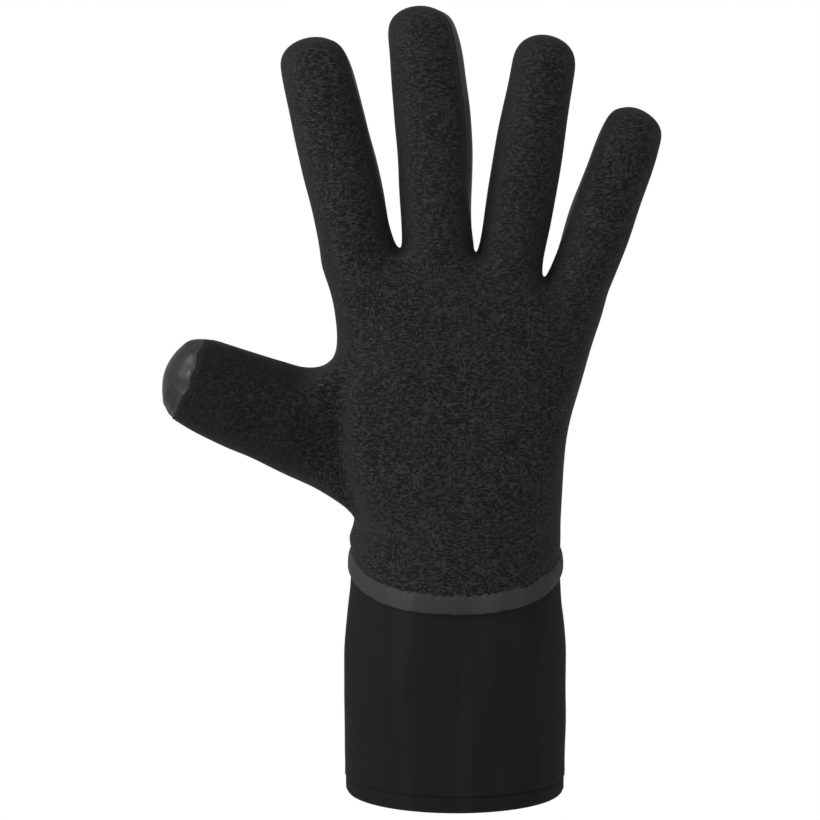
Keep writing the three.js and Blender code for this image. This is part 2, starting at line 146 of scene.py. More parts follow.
# Sections of the palm: rise, left, right, depth, tilt, fall and power, as shares
PALM_SECTIONS = np.array([
    (0.0, 0.0, 0.0, 0.0, 1.0, 0.0, 2.0),
    (0.04, 0.0, 0.0, 0.0, 1.0, 0.0, 2.0),
    (0.085, 0.0, 0.0, 0.02, 0.9, 0.0, 2.0),
    (0.185, 0.05, 0.0, 0.2, 0.35, 0.0, 2.1),
    (0.42, 0.7, 0.13, 0.45, 0.0, 0.0, 2.8),
    (0.675, 0.48, 0.49, 0.75, 0.0, 0.2, 2.6),
    (0.84, 0.55, 0.75, 1.0, 0.0, 0.6, 2.5),
])
THUMB_ROW = 3

# Section of the band: shares of its height out from the wall and of half its width up
BAND_SECTION = [(0.0, -1.0), (0.5, -1.0), (0.85, -0.93), (1.0, -0.7), (1.0, -0.2), (0.93, 0.2),
                (0.8, 0.55), (0.6, 0.82), (0.35, 0.96), (0.0, 1.0), (0.0, 0.3), (0.0, -0.4)]
BAND_SEAT = -0.35
BAND_COLUMNS = 480

# The band's ragged edge: where it starts as a share of half the width, how much of it is
# left on the rubber and at the lower edge, and half the width of the change to the rubber
BAND_RAGGED = 0.3
BAND_ON_RUBBER = 0.25
BAND_LOWER = 0.3
BAND_TURN = 4.0

# How a panel's cut edge rounds over: back from the seam and out from the face, in mm
FABRIC_EDGE = [(0.7, 0.06), (0.35, 0.02), (0.12, -0.12), (0.02, -0.45), (0.15, -HAND_WALL)]
RUBBER_EDGE = [(0.8, 0.12), (0.5, 0.16), (0.22, 0.1), (-0.05, -0.4), (0.15, -HAND_WALL)]

# Where the thumb joins the hand: x of the hand's side, the width of the change, and the top
THUMB_JOIN = -46.0
THUMB_JOIN_BLEND = 16.0
THUMB_TOP = 162.0
THUMB_TOP_BLEND = 10.0

# Unevenness of the worn surface, in mm: amplitude and wavelength of each set of waves
SOFT_WAVES = [(0.22, 41.0), (0.14, 23.0), (0.07, 13.0)]
EDGE_WAVES = [(0.35, 9.0), (0.3, 4.3), (0.28, 2.4)]
CAP_WAVES = [(0.5, 15.0), (0.6, 7.0), (0.3, 3.1)]
CAP_WRINKLES = [(0.2, 6.5), (0.2, 3.6)]
WAVE_SEED = 11

# How far from the wrist's seam the waves begin and are full, and the same above the hem
CALM_START = 5.0
CALM_END = 16.0
HEM_CALM = 6.0

# The thumb's cap, in mm from its seam: how far the seam's slide is felt, its shift towards
# the hand, and where the wrinkles begin, fade and end
CAP_REACH = 8.0
CAP_SHIFT = 3.4
CAP_SHIFT_FROM = -0.45 * THUMB_WIDTH
PUCKER_START = -2.0
PUCKER_FADE = 3.0
PUCKER_END = 9.0

# The knit: how its noises are stretched, and where each one steps from 0 to 1
KNIT_LEVEL = (0.4, 0.4, 1.0)
KNIT_UPRIGHT = (0.9, 0.9, 0.5)
KNIT_SPOTS = (0.6, 0.6, 1.0)
KNIT_PITS = (1.1, 1.1, 1.3)
RIDGE_STEP = (0.36, 0.64)
TURN_STEP = (0.55, 0.66)
GLINT_STEP = (0.69, 0.79)
PIT_STEP = (0.56, 0.68)
TURN_SCALE = 0.12

# The knit's look: noise scales, where its contrast sets in by mm from the seam and by how
# squarely the skin faces front, then the share of contrast kept when it doesn't
KNIT_SCALE = 1500.0
KNIT_MARKS = {"Broad": 45.0, "Fine": 1400.0}
KNIT_EDGE = (0.5, 2.2)
KNIT_FACING = (0.55, 0.93)
KNIT_KEPT = 0.3
KNIT_CLOUDED = 0.3
RIDGE_MIDDLE = 0.5
RIDGE_LEVEL = 0.45
KNIT_GRAIN = 0.15
KNIT_DEPTH = 0.0003

# Greys of the knit, with its light and shade painted in: the low gaps in painted shade, the
# ridge tops in painted light, painted glints on some tops, the pits in deeper painted shade and
# the plain edge beside the seam paler as a painted light rim; then the share of the thumb's
# knit colour that is left, a painted shade
GREY_PAINTED_SHADE_LOW = 0.009
GREY_PAINTED_LIGHT_RIDGE = 0.04
GREY_PAINTED_GLINT = 0.08
GREY_PAINTED_SHADE_PIT = 0.003
GREY_PAINTED_RIM_EDGE = 0.032
GREY_LAP = 0.028
THUMB_PAINTED_SHADE = 0.4

# Smooth finishes: colour, roughness, specular level, then the share of the pale lip beside the
# seam for the panel's rubber, a glue bead and a painted highlight, and the grain's depth in
# metres for the others
RUBBER = ((0.021, 0.021, 0.0215), 0.43, 0.36, 0.5)
TAPE = ((0.043, 0.043, 0.044), 0.6, 0.2, 0.00005)
CUFF_SKIN = ((0.0132, 0.0132, 0.0138), 0.72, 0.12, 0.00004)
HEM_SKIN = ((0.013, 0.013, 0.0135), 0.75, 0.12, 0.00004)
LINING = ((0.012, 0.012, 0.013), 0.9, 0.1, 0.0001)
CAP_GLOSS = 0.14

# The panel's rubber: scales of its marks, how far the pale lip (a glue bead and a painted
# highlight) and the knit's ragged lap reach from the seam in mm, how much paler each is, and
# the depth of its grain in metres
RUBBER_MARKS = {"Broad": 34.0, "Fine": 700.0}
GLUE_AND_HIGHLIGHT_REACH = (2.4, 1.0)
GLUE_AND_HIGHLIGHT_PALER = 2.4
LAP_SCALE = 620.0
LAP_SPREAD = 3.4
LAP_START = -1.2
LAP_EDGE = (0.12, -0.12)
LAP_DULLER = 0.35
RUBBER_CLOUD = 1.35
RUBBER_CLOUD_SHARE = 0.6
RUBBER_CLOUD_GLOSS = 0.14
RUBBER_GRAIN = 0.00006

# The plain rubbers: scales of their marks, their upright bands, and how much paler each is
SKIN_MARKS = {"Broad": 24.0, "Fine": 1100.0}
UPRIGHT_BAND_STRETCH = (1.0, 1.0, 0.12)
UPRIGHT_BAND_SCALE = 75.0
UPRIGHT_BAND_STEP = (0.45, 0.68)
SKIN_CLOUD = 1.15
SKIN_CLOUD_GLOSS = 0.1
UPRIGHT_BAND_PALER = 1.45

# Camera: from the back of the hand and a little above it
PIXEL = 0.36
IMAGE_PIXELS = 820
CAMERA_DISTANCE = 700.0
CAMERA_RISE = math.radians(8.0)
AIM = (-16.56, 0.0, 141.8)
SENSOR = 36.0

# Lights: place and aim in millimetres, size in metres, power in watts, colour
LIGHTS = [
    ("key", (-850, -420, 620), (-10, 0, 200), 0.6, 6.0, (1.0, 1.0, 1.0)),
    ("side", (800, -200, 300), (0, 0, 120), 0.6, 0.6, (0.75, 0.84, 1.0)),
]
WORLD_LIGHT = 0.42
FLOOR_DROP = -350.0
FLOOR_HALF = 6000.0


def add_camera():
    """Camera on a circle around the aim, its lens set so that a pixel at the aim is PIXEL."""
    x, y, z = AIM
    place = (x, y - CAMERA_DISTANCE * math.cos(CAMERA_RISE),
             z + CAMERA_DISTANCE * math.sin(CAMERA_RISE))
    data = bpy.data.cameras.new("camera")
    data.sensor_width = SENSOR
    data.lens = SENSOR * CAMERA_DISTANCE / (PIXEL * IMAGE_PIXELS)
    data.clip_start = 0.01
    data.clip_end = 20
    camera = bpy.data.objects.new("camera", data)
    camera.location = [value * MM for value in place]
    camera.rotation_euler = (math.pi / 2 - CAMERA_RISE, 0, 0)
    bpy.context.scene.collection.objects.link(camera)
    bpy.context.scene.camera = camera


def finger_roots():
    """Each finger's root beside the last one's, with half the gap of the web on each side."""
    widths = [f["width"] * f["base"] / math.cos(math.radians(f["lean"])) for f in FINGERS]
    x = KNUCKLE_OFFSET - (sum(widths) + sum(f["gap"] for f in FINGERS)) / 2
    gap = 0.0
    drop = INDEX_SIDE_DROP
    roots = []
    for finger, width in zip(FINGERS, widths):
        edge = x + gap / 2
        right = edge + width + finger["gap"] / 2
        roots.append({"left": x, "right": right, "left_drop": drop,
                      "right_drop": finger["drop"], "x": edge + width / 2,
                      "drop": (drop + finger["drop"]) / 2})
        x = right
        gap = finger["gap"]
        drop = finger["drop"]
    return roots


ROOTS = finger_roots()
KNUCKLE_LEFT = ROOTS[0]["left"]
KNUCKLE_RIGHT = ROOTS[3]["right"]


def knuckle_shares():
    """Where the palm's columns stand across the knuckles, as shares of their width."""
    places = [KNUCKLE_LEFT]
    for i, root in enumerate(ROOTS):
        width = root["right"] - root["left"]
        if i == 0:
            places.append(root["left"] + SIDE_INSET * width)
        places.append(root["x"])
        if i == 3:
            places.append(root["right"] - SIDE_INSET * width)
        places.append(root["right"])
    return (np.array(places) - KNUCKLE_LEFT) / (KNUCKLE_RIGHT - KNUCKLE_LEFT)


def root_drop(share):
    """How far the row of roots lies below the highest web, straight between its corners."""
    x = KNUCKLE_LEFT + share * (KNUCKLE_RIGHT - KNUCKLE_LEFT)
    corners = [KNUCKLE_LEFT] + [root["right"] for root in ROOTS]
    drops = [ROOTS[0]["left_drop"]] + [root["right_drop"] for root in ROOTS]
    return np.interp(x, corners, drops)


def seam_bow(across):
    """How far the wrist's seam rises beside its middle: the fifth power of the way across,
    which is -1 at the left side and 1 at the right."""
    return SEAM_BOW * np.minimum(1.0, np.abs(across)) ** 5


def side_x(end):
    """The hand's outer side at the roots, on the side line of the index or little finger."""
    root = ROOTS[end]
    rise = root["drop"] - (root["right_drop"] if end else root["left_drop"]) - SIDE_ROLL
    edge = root["right"] if end else root["left"]
    return edge + rise * math.tan(math.radians(FINGERS[end]["lean"]))


def palm_rows():
    """Rows of the palm on a grid of sections and columns. x goes from a left to a right edge
    at a share that passes from half a cosine to the knuckles' places; y is a squared oval,
    half the depth times (1 - u^power)^(1/power); z rises, falls with the webs and tilts."""
    column = np.arange(PALM_COLUMNS)
    across = np.where(column <= HALF_COLUMNS, column, PALM_COLUMNS - column)
    facing = np.where(column <= HALF_COLUMNS, -1.0, 1.0)
    top = knuckle_shares()[across]
    oval = (1 - np.cos(np.pi * across / HALF_COLUMNS)) / 2
    rise, left, right, depth, tilt, fall, power = PALM_SECTIONS.T[:, :, None]
    share = oval + (top - oval) * rise ** 2
    start = -WRIST_WIDTH / 2 + (KNUCKLE_LEFT + WRIST_WIDTH / 2) * left
    end = WRIST_WIDTH / 2 + (KNUCKLE_RIGHT - WRIST_WIDTH / 2) * right
    half = (WRIST_DEPTH + (PALM_DEPTH - WRIST_DEPTH) * depth) / 2
    u = np.minimum(1.0, np.abs(2 * share - 1))
    y = facing * half * (1 - u ** power) ** (1 / power)
    z = (SEAM_HEIGHT + rise * HAND_HEIGHT - fall * root_drop(share)
         + tilt * (SEAM_SLOPE * y + seam_bow(2 * share - 1)))
    rows = np.stack([start + (end - start) * share, y, z], axis=-1)

    web = np.isin(across, WEB_COLUMNS)
    side = np.isin(across, (0, HALF_COLUMNS))
    near = np.isin(across, (1, HALF_COLUMNS - 1))
    finger = np.clip((across - 1) // 2, 0, 3)
    reach = np.select([side, web, near], [0.0, ROOT_WEB, ROOT_SIDE], ROOT_FACE)
    reach = reach * np.array([f["depth"] for f in FINGERS])[finger]
    x = KNUCKLE_LEFT + top * (KNUCKLE_RIGHT - KNUCKLE_LEFT)
    x = np.where(across == 0, side_x(0), x)
    x = np.where(across == HALF_COLUMNS, side_x(3), x)
    x = x + NEAR_LEAN * near * np.sign(HALF_COLUMNS / 2 - across)
    z = WEB_HEIGHT - root_drop(top) - WEB_ROLL * web - SIDE_ROLL * side - NEAR_ROLL * near
    roots = np.stack([x, facing * reach, z], axis=-1)
    return np.concatenate([rows, roots[None]])


def tube_angles(left, right):
    """Angles of a tube's columns for each section, its seams turned by left and right."""
    step = np.arange(TUBE_COLUMNS)
    left = np.asarray(left)[:, None]
    right = np.asarray(right)[:, None]
    front = left + (180 - right - left) * step / HALF_TUBE
    back = 180 - right + (180 + left + right) * (step - HALF_TUBE) / HALF_TUBE
    return np.radians(np.where(step <= HALF_TUBE, front, back))


def tube_rings(centres, across, widths, depths, angles):
    """Ovals around the centres: minus the cosine goes across, minus the sine into depth."""
    side = -np.cos(angles)[..., None] * across * (widths / 2)[:, None, None]
    face = -np.sin(angles)[..., None] * np.array([0.0, 1.0, 0.0]) * (depths / 2)[:, None, None]
    return centres[:, None, :] + side + face


def finger_rings(finger, root):
    """A finger's ovals along a straight axis that leans, bows sideways with the square of
    the way along, and curls towards the palm with that square. The last point is its tip."""
    lean = math.radians(finger["lean"])
    axis = np.array([math.sin(lean), 0.0, math.cos(lean)])
    across = np.array([math.cos(lean), 0.0, -math.sin(lean)])
    base = np.array([root["x"], 0.0, WEB_HEIGHT - root["drop"]])
    along, width, depth = FINGER_SECTIONS.T
    ways = np.append(along, 1.0)[:, None]
    centres = (base + ways * finger["length"] * axis + ways ** 2 * finger["bow"] * across
               + ways ** 2 * np.array([0.0, CURL, 0.0]))
    spread = np.minimum(1.0, along / ROOT_SPREAD)
    widths = finger["width"] * width * (finger["base"] + (1 - finger["base"]) * spread)
    turn = np.minimum(1.0, along / SEAM_TURN)
    angles = tube_angles(finger["left"] * turn, finger["right"] * turn)
    rings = tube_rings(centres[:-1], across, widths, finger["depth"] * depth, angles)
    return rings, centres[-1]


def thumb_rings(base):
    """The thumb's ovals, which turn from upright to its rise. The last point is its tip."""
    axis = np.array([-math.cos(THUMB_RISE), 0.0, math.sin(THUMB_RISE)])
    along, width, depth, turn = THUMB_SECTIONS.T
    ways = np.append(along, 1.0)[:, None]
    curl = ways ** 1.5 * np.array([0.0, THUMB_CURL, 0.0]) + np.array([0.0, 0.0, THUMB_LIFT])
    centres = base + ways * THUMB_LENGTH * axis + curl
    angle = THUMB_RISE * turn
    across = np.stack([np.sin(angle), 0 * angle, np.cos(angle)], axis=-1)[:, None, :]
    angles = tube_angles(0 * along, 0 * along)
    rings = tube_rings(centres[:-1], across, THUMB_WIDTH * width, THUMB_DEPTH * depth, angles)
    return rings, centres[-1]


def grid_quads(rows):
    """Four-sided faces between the rows of a grid of indices that closes on itself."""
    ahead = np.roll(rows, -1, axis=1)
    return np.stack([rows[:-1], ahead[:-1], ahead[1:], rows[1:]], axis=-1)


def hand_net():
    """The net of the whole hand: the palm's grid, a tube for each finger and the thumb."""
    points = []
    quads = []
    panels = []
    count = 0

    def add(block):
        nonlocal count
        block = np.atleast_2d(block.reshape(-1, 3))
        points.append(block)
        count += len(block)
        return np.arange(count - len(block), count)

    def tube(mouth, rings, tip, cap_from):
        rows = np.concatenate([mouth[None], add(rings).reshape(-1, TUBE_COLUMNS)])
        top = add(tip)[0]
        columns = np.arange(TUBE_COLUMNS)
        faces = grid_quads(rows)
        front = (columns < HALF_TUBE) & (np.arange(len(faces))[:, None] < cap_from)
        quads.append(faces.reshape(-1, 4))
        panels.append(np.where(front, BACK, PALM).ravel())
        last = rows[-1]
        even = columns[::2]
        ends = [last[even], last[even + 1], last[(even + 2) % TUBE_COLUMNS],
                np.full(len(even), top)]
        quads.append(np.stack(ends, axis=-1))
        capped = cap_from <= len(faces)
        panels.append(np.where((even < HALF_TUBE) & (not capped), BACK, PALM))

    rows = palm_rows()
    palm = add(rows).reshape(-1, PALM_COLUMNS)
    faces = grid_quads(palm)
    keep = np.ones(faces.shape[:2], bool)
    keep[THUMB_ROW:THUMB_ROW + 2, [0, PALM_COLUMNS - 1]] = False
    side = np.broadcast_to(np.arange(PALM_COLUMNS) < HALF_COLUMNS, keep.shape)
    quads.append(faces[keep])
    panels.append(np.where(side, BACK, PALM)[keep])

    top = palm[-1]
    webs = [add(np.array([root["right"], 0.0, WEB_HEIGHT - root["right_drop"]]))[0]
            for root in ROOTS[:3]]
    for i, (finger, root) in enumerate(zip(FINGERS, ROOTS)):
        left = webs[i - 1] if i else top[0]
        right = webs[i] if i < 3 else top[HALF_COLUMNS]
        start, end = 1 + 2 * i, PALM_COLUMNS - 2 * i
        mouth = [left, *top[start:start + 3], right, *top[end - 3:end]]
        rings, tip = finger_rings(finger, root)
        tube(np.array(mouth), rings, tip, math.inf)

    low, middle, high = palm[THUMB_ROW:THUMB_ROW + 3]
    mouth = [low[0], low[1], middle[1], high[1], high[0], high[-1], middle[-1], low[-1]]
    rings, tip = thumb_rings(rows[THUMB_ROW + 1, 0])
    tube(np.array(mouth), rings, tip, CAP_SECTION + 1)

    quads = np.concatenate(quads)
    used, quads = np.unique(quads, return_inverse=True)
    return np.concatenate(points)[used], quads.reshape(-1, 4), np.concatenate(panels)


def summed(count, where, values):
    """Adds up rows of values at the given places."""
    total = np.zeros((count, values.shape[-1]))
    np.add.at(total, where.ravel(), values.reshape(-1, values.shape[-1]))
    return total


def edge_table(quads):
    """The net's edges, the edge of each side of each face, and how many faces share it."""
    sides = np.sort(np.stack([quads, np.roll(quads, -1, axis=1)], axis=-1), axis=-1)
    edges, inverse, counts = np.unique(sides.reshape(-1, 2), axis=0, return_inverse=True,
                                       return_counts=True)
    return edges, inverse.reshape(quads.shape), counts


def around(points, quads):
    """Sums of the points next to each point, of those across its faces, and of its rim."""
    size = len(points)
    beside = points[np.roll(quads, -1, axis=1)] + points[np.roll(quads, 1, axis=1)]
    near = summed(size, quads, beside) / 2
    far = summed(size, quads, points[np.roll(quads, 2, axis=1)])
    edges, _, counts = edge_table(quads)
    rim = edges[counts == 1]
    along = summed(size, rim, points[rim[:, ::-1]])
    on_rim = np.zeros(size, bool)
    on_rim[rim.ravel()] = True
    valence = np.bincount(quads.ravel(), minlength=size)[:, None].astype(float)
    return near, far, along, on_rim[:, None], valence


def smooth_points(points, quads):
    """Catmull and Clark's limit: (n^2 p + 4 near + far) / (n (n + 5)) inside the net, and
    (4 p + rim) / 6 on its rim."""
    near, far, along, on_rim, n = around(points, quads)
    inside = (n ** 2 * points + 4 * near + far) / (n * (n + 5))
    return np.where(on_rim, (4 * points + along) / 6, inside)


def fit_net(aims, quads):
    """Moves the net until the smooth surface passes through its first places."""
    points = aims.copy()
    for _ in range(FIT_ROUNDS):
        points += aims - smooth_points(points, quads)
    return points


def subdivide(points, quads, panels):
    """One round of Catmull and Clark: each face becomes four."""
    near, _, along, on_rim, n = around(points, quads)
    centres = points[quads].mean(axis=1)
    face_sum = summed(len(points), quads, np.repeat(centres[:, None], 4, axis=1))
    inside = ((n - 2) * points + near / n + face_sum / n) / n
    corners = np.where(on_rim, (6 * points + along) / 8, inside)
    edges, side, counts = edge_table(quads)
    ends = points[edges].sum(axis=1)
    across = summed(len(edges), side, np.repeat(centres[:, None], 4, axis=1))
    shared = (counts == 2)[:, None]
    middles = np.where(shared, (ends + across) / 4, ends / 2)
    middle = len(points) + side
    centre = len(points) + len(edges) + np.arange(len(quads))
    centre = np.repeat(centre[:, None], 4, axis=1)
    split = np.stack([quads, middle, centre, np.roll(middle, 1, axis=1)], axis=-1)
    return (np.concatenate([corners, middles, centres]), split.reshape(-1, 4),
            np.repeat(panels, 4))


def normals_of(points, quads):
    """Normals weighed by area, from the cross products of the faces' diagonals."""
    a, b, c, d = (points[quads[:, i]] for i in range(4))
    face = np.cross(c - a, d - b)
    total = summed(len(points), quads, np.repeat(face[:, None], 4, axis=1))
    return total / np.linalg.norm(total, axis=1, keepdims=True)


def soft_waves(points, sets=SOFT_WAVES):
    """Unevenness: for each wavelength, half the sum of three sines along seeded directions."""
    rng = np.random.default_rng(WAVE_SEED)
    total = np.zeros(points.shape[:-1])
    for amplitude, wavelength in sets:
        ways = rng.normal(size=(3, 3))
        ways /= np.linalg.norm(ways, axis=1, keepdims=True)
        phases = rng.uniform(0, 2 * np.pi, 3)
        waves = np.sin(points @ ways.T * 2 * np.pi / wavelength + phases)
        total += amplitude * waves.sum(axis=-1) / 2
    return total


def rim_edges(quads):
    """The open edges of a set of faces, each with its face's own direction."""
    _, side, counts = edge_table(quads)
    open_side = counts[side] == 1
    return np.stack([quads[open_side], np.roll(quads, -1, axis=1)[open_side]], axis=-1)


def distance_to(points, targets):
    """The distance from each point to the nearest of the targets, worked out in blocks."""
    blocks = np.array_split(points, SEARCH_BLOCKS)
    found = [np.sqrt(((block[:, None] - targets[None]) ** 2).sum(axis=-1)).min(axis=1)
             for block in blocks]
    return np.concatenate(found)


def thumb_share(points):
    """1 on the thumb and 0 on the hand, with a smooth step where it leaves the palm."""
    away = 1 - smooth_step(points[:, 0], THUMB_JOIN - THUMB_JOIN_BLEND, THUMB_JOIN)
    return away * (1 - smooth_step(points[:, 2], THUMB_TOP, THUMB_TOP + THUMB_TOP_BLEND))


def panel_shell(points, quads, normals, edge_profile):
    """One panel as a closed shell: its outer faces, the same a wall further in, and a rim
    that carries the edge's profile round the panel from the outer to the inner faces."""
    used, quads = np.unique(quads, return_inverse=True)
    quads = quads.reshape(-1, 4)
    points, normals = points[used], normals[used]
    size = len(points)
    rims = rim_edges(quads)
    step = points[rims[:, 1]] - points[rims[:, 0]]
    step /= np.linalg.norm(step, axis=1, keepdims=True)
    back = np.zeros_like(points)
    for end in (0, 1):
        np.add.at(back, rims[:, end], np.cross(normals[rims[:, end]], step))
    rim = np.unique(rims)
    back = back[rim] / np.linalg.norm(back[rim], axis=1, keepdims=True)
    rows = [points[rim] + back * inward + normals[rim] * out for inward, out in edge_profile]
    outer = points.copy()
    outer[rim] = rows[0]
    inner = points - normals * HAND_WALL
    inner[rim] = rows[-1]
    between = np.concatenate(rows[1:-1])
    place = np.zeros(size, int)
    place[rim] = np.arange(len(rim))
    tracks = [rims] + [2 * size + place[rims] + i * len(rim) for i in range(len(rows) - 2)]
    tracks.append(rims + size)
    walls = [np.stack([one[:, 1], one[:, 0], two[:, 0], two[:, 1]], axis=-1)
             for one, two in zip(tracks, tracks[1:])]
    seam = distance_to(points, points[rim])
    edge_values = np.concatenate([seam, seam, np.zeros(len(between))])
    square = np.abs(normals[:, 1])
    square = np.concatenate([square, square, np.tile(square[rim], len(rows) - 2)])
    shell = np.concatenate([outer, inner, between])
    faces = np.concatenate([quads, quads[:, ::-1] + size, *walls])
    inside = np.zeros(len(faces), bool)
    inside[len(quads):2 * len(quads)] = True
    return shell, faces, inside, edge_values, square


def oval_rows(rises, margins, heights, tilts, columns=SLEEVE_COLUMNS):
    """Ovals between the wrist's and the cuff's size, let out by a margin; their height
    follows the tilt of the seam. Rows are stacked, columns go once round."""
    angle = np.pi + 2 * np.pi * np.arange(columns) / columns
    rises, margins, heights, tilts = (np.asarray(v, float)[:, None]
                                      for v in (rises, margins, heights, tilts))
    a = (WRIST_WIDTH + (CUFF_WIDTH - WRIST_WIDTH) * rises) / 2 + margins
    b = (WRIST_DEPTH + (CUFF_DEPTH - WRIST_DEPTH) * rises) / 2 + margins
    level = WRIST_DEPTH / 2 * np.sin(angle)
    z = heights + tilts * (SEAM_SLOPE * level + seam_bow(np.cos(angle)))
    return np.stack([a * np.cos(angle), b * np.sin(angle), z], axis=-1)


def sleeve(rows):
    """A closed wall from ovals that go up outside and down inside."""
    count, columns = rows.shape[:2]
    index = np.arange(count * columns).reshape(count, columns)
    faces = grid_quads(np.concatenate([index, index[:1]])).reshape(-1, 4)
    return rows.reshape(-1, 3), faces


def smooth_step(value, start, end):
    """3 t^2 - 2 t^3 of the way from start to end."""
    t = np.clip((value - start) / (end - start), 0, 1)
    return t * t * (3 - 2 * t)


def make_mesh(name, points, faces):
    """A mesh object at the origin, from points in millimetres."""
    mesh = bpy.data.meshes.new(name)
    mesh.from_pydata((points * MM).tolist(), [], faces.tolist())
    mesh.polygons.foreach_set("use_smooth", np.ones(len(mesh.polygons), bool))
    mesh.update()
    piece = bpy.data.objects.new(name, mesh)
    bpy.context.scene.collection.objects.link(piece)
    return piece


def add_values(piece, name, values):
    """A value for each point, which materials read by name."""
    attribute = piece.data.attributes.new(name, "FLOAT", "POINT")
    attribute.data.foreach_set("value", np.asarray(values, np.float32))


def settle(piece, node, slot, *materials):
    """Binds a finished piece to the glove's body, its node and its finish."""
    for material in materials:
        piece.data.materials.append(material)
    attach(piece, "root")
    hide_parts(node)


def line_inside(piece, inside):
    """Gives a piece's inner faces its second material, the lining."""
    piece.data.polygons.foreach_set("material_index", inside.astype(np.int32))


def work_cap(points, normals):
    """The thumb's cap as glued by hand. Its seam wanders: near it the skin slides along the
    thumb by a sum of short waves, and towards the hand where it faces up. Beside it the
    rubber is puckered by small wrinkles."""
    axis = np.array([-math.cos(THUMB_RISE), 0.0, math.sin(THUMB_RISE)])
    thumb = thumb_share(points) > 0.5
    along = points @ axis
    seam = along[thumb].max() - (1 - THUMB_SECTIONS[CAP_SECTION, 0]) * THUMB_LENGTH
    near = np.exp(-((along - seam) / CAP_REACH) ** 2) * thumb
    slide = axis - normals * (normals @ axis)[:, None]
    wrinkles = soft_waves(points, CAP_WRINKLES) * thumb
    wrinkles *= smooth_step(along, seam + PUCKER_START, seam)
    wrinkles *= 1 - smooth_step(along, seam + PUCKER_FADE, seam + PUCKER_END)
    height = points @ np.array([math.sin(THUMB_RISE), 0.0, math.cos(THUMB_RISE)])
    height = height - height[near > 0.5].mean()
    shift = -CAP_SHIFT * smooth_step(height, CAP_SHIFT_FROM, 0.0)
    return (points + slide * ((soft_waves(points, CAP_WAVES) + shift) * near)[:, None]
            + normals * wrinkles[:, None])


def add_panels(fabric, rubber, lining):
    """The two panels of the hand, cut from one smooth skin along their shared seam."""
    points, quads, panels = hand_net()
    points = fit_net(points, quads)
    for _ in range(SKIN_ROUNDS):
        points, quads, panels = subdivide(points, quads, panels)
    points = smooth_points(points, quads)
    normals = normals_of(points, quads)
    calm = smooth_step(points[:, 2] - SEAM_SLOPE * points[:, 1], SEAM_HEIGHT + CALM_START,
                       SEAM_HEIGHT + CALM_END)
    points = points + normals * (soft_waves(points) * calm)[:, None]
    points = work_cap(points, normals)
    for which, node, slot, profile, face in (
            (BACK, "back_panel", "knit_fabric", FABRIC_EDGE, fabric),
            (PALM, "palm_panel", "palm_rubber", RUBBER_EDGE, rubber)):
        shell, faces, inside, seam, square = panel_shell(points, quads[panels == which],
                                                         normals, profile)
        piece = make_mesh("glove_" + node, shell, faces)
        add_values(piece, "seam", seam)
        add_values(piece, "square", square)
        add_values(piece, "thumb", thumb_share(shell))
        settle(piece, node, slot, face, lining)
        line_inside(piece, inside)


def add_cuff(skin, lining):
    """The cuff's wall: straight up from the hem, drawn in to the wrist by a smooth step."""
    low = HEM_HEIGHT + CUFF_SEAT * FIT_GAP
    high = SEAM_HEIGHT - SEAM_GAP / 2
    share = np.concatenate([np.linspace(0, CUFF_LAST_ROW, CUFF_ROWS), [1.0]])
    heights = low + (high - low) * share
    widen = 1 - smooth_step(share, *CUFF_NARROWS)
    tilts = np.minimum(1.0, (share / CUFF_TILTED) ** 2)
    edge_out, edge_up = CUFF_EDGE.T
    start = np.ones(len(CUFF_EDGE))
    outer = oval_rows(np.append(start, widen[1:]), np.append(edge_out, 0 * share[1:]),
                      np.append(low + edge_up, heights[1:]),
                      np.append(0 * start, tilts[1:]))
    inner = oval_rows(widen, 0 * share - CUFF_WALL, heights, tilts)[::-1]
    points, faces = sleeve(np.concatenate([outer, inner]))
    ripple = soft_waves(points) * smooth_step(points[:, 2], low, low + HEM_CALM)
    ripple *= 1 - smooth_step(points[:, 2] - SEAM_SLOPE * points[:, 1],
                              SEAM_HEIGHT - CALM_END, SEAM_HEIGHT - CALM_START)
    away = points * np.array([1.0, 1.0, 0.0])
    away /= np.linalg.norm(away, axis=1, keepdims=True)
    piece = make_mesh("glove_cuff", points + away * ripple[:, None], faces)
    settle(piece, "cuff", "cuff_skin", skin, lining)
    rows = np.repeat(np.arange(len(outer) + len(inner)), SLEEVE_COLUMNS)
    line_inside(piece, rows >= len(outer))


def add_hem(skin):
    """The hem: a low ring, a little smaller than the cuff, with rounded lower edges."""
    margins, heights = np.array(HEM_OUTER + HEM_INNER).T
    points, faces = sleeve(oval_rows(1 + 0 * margins, margins, heights, 0 * margins))
    settle(make_mesh("glove_cuff_hem", points, faces), "cuff_hem", "hem_skin", skin)


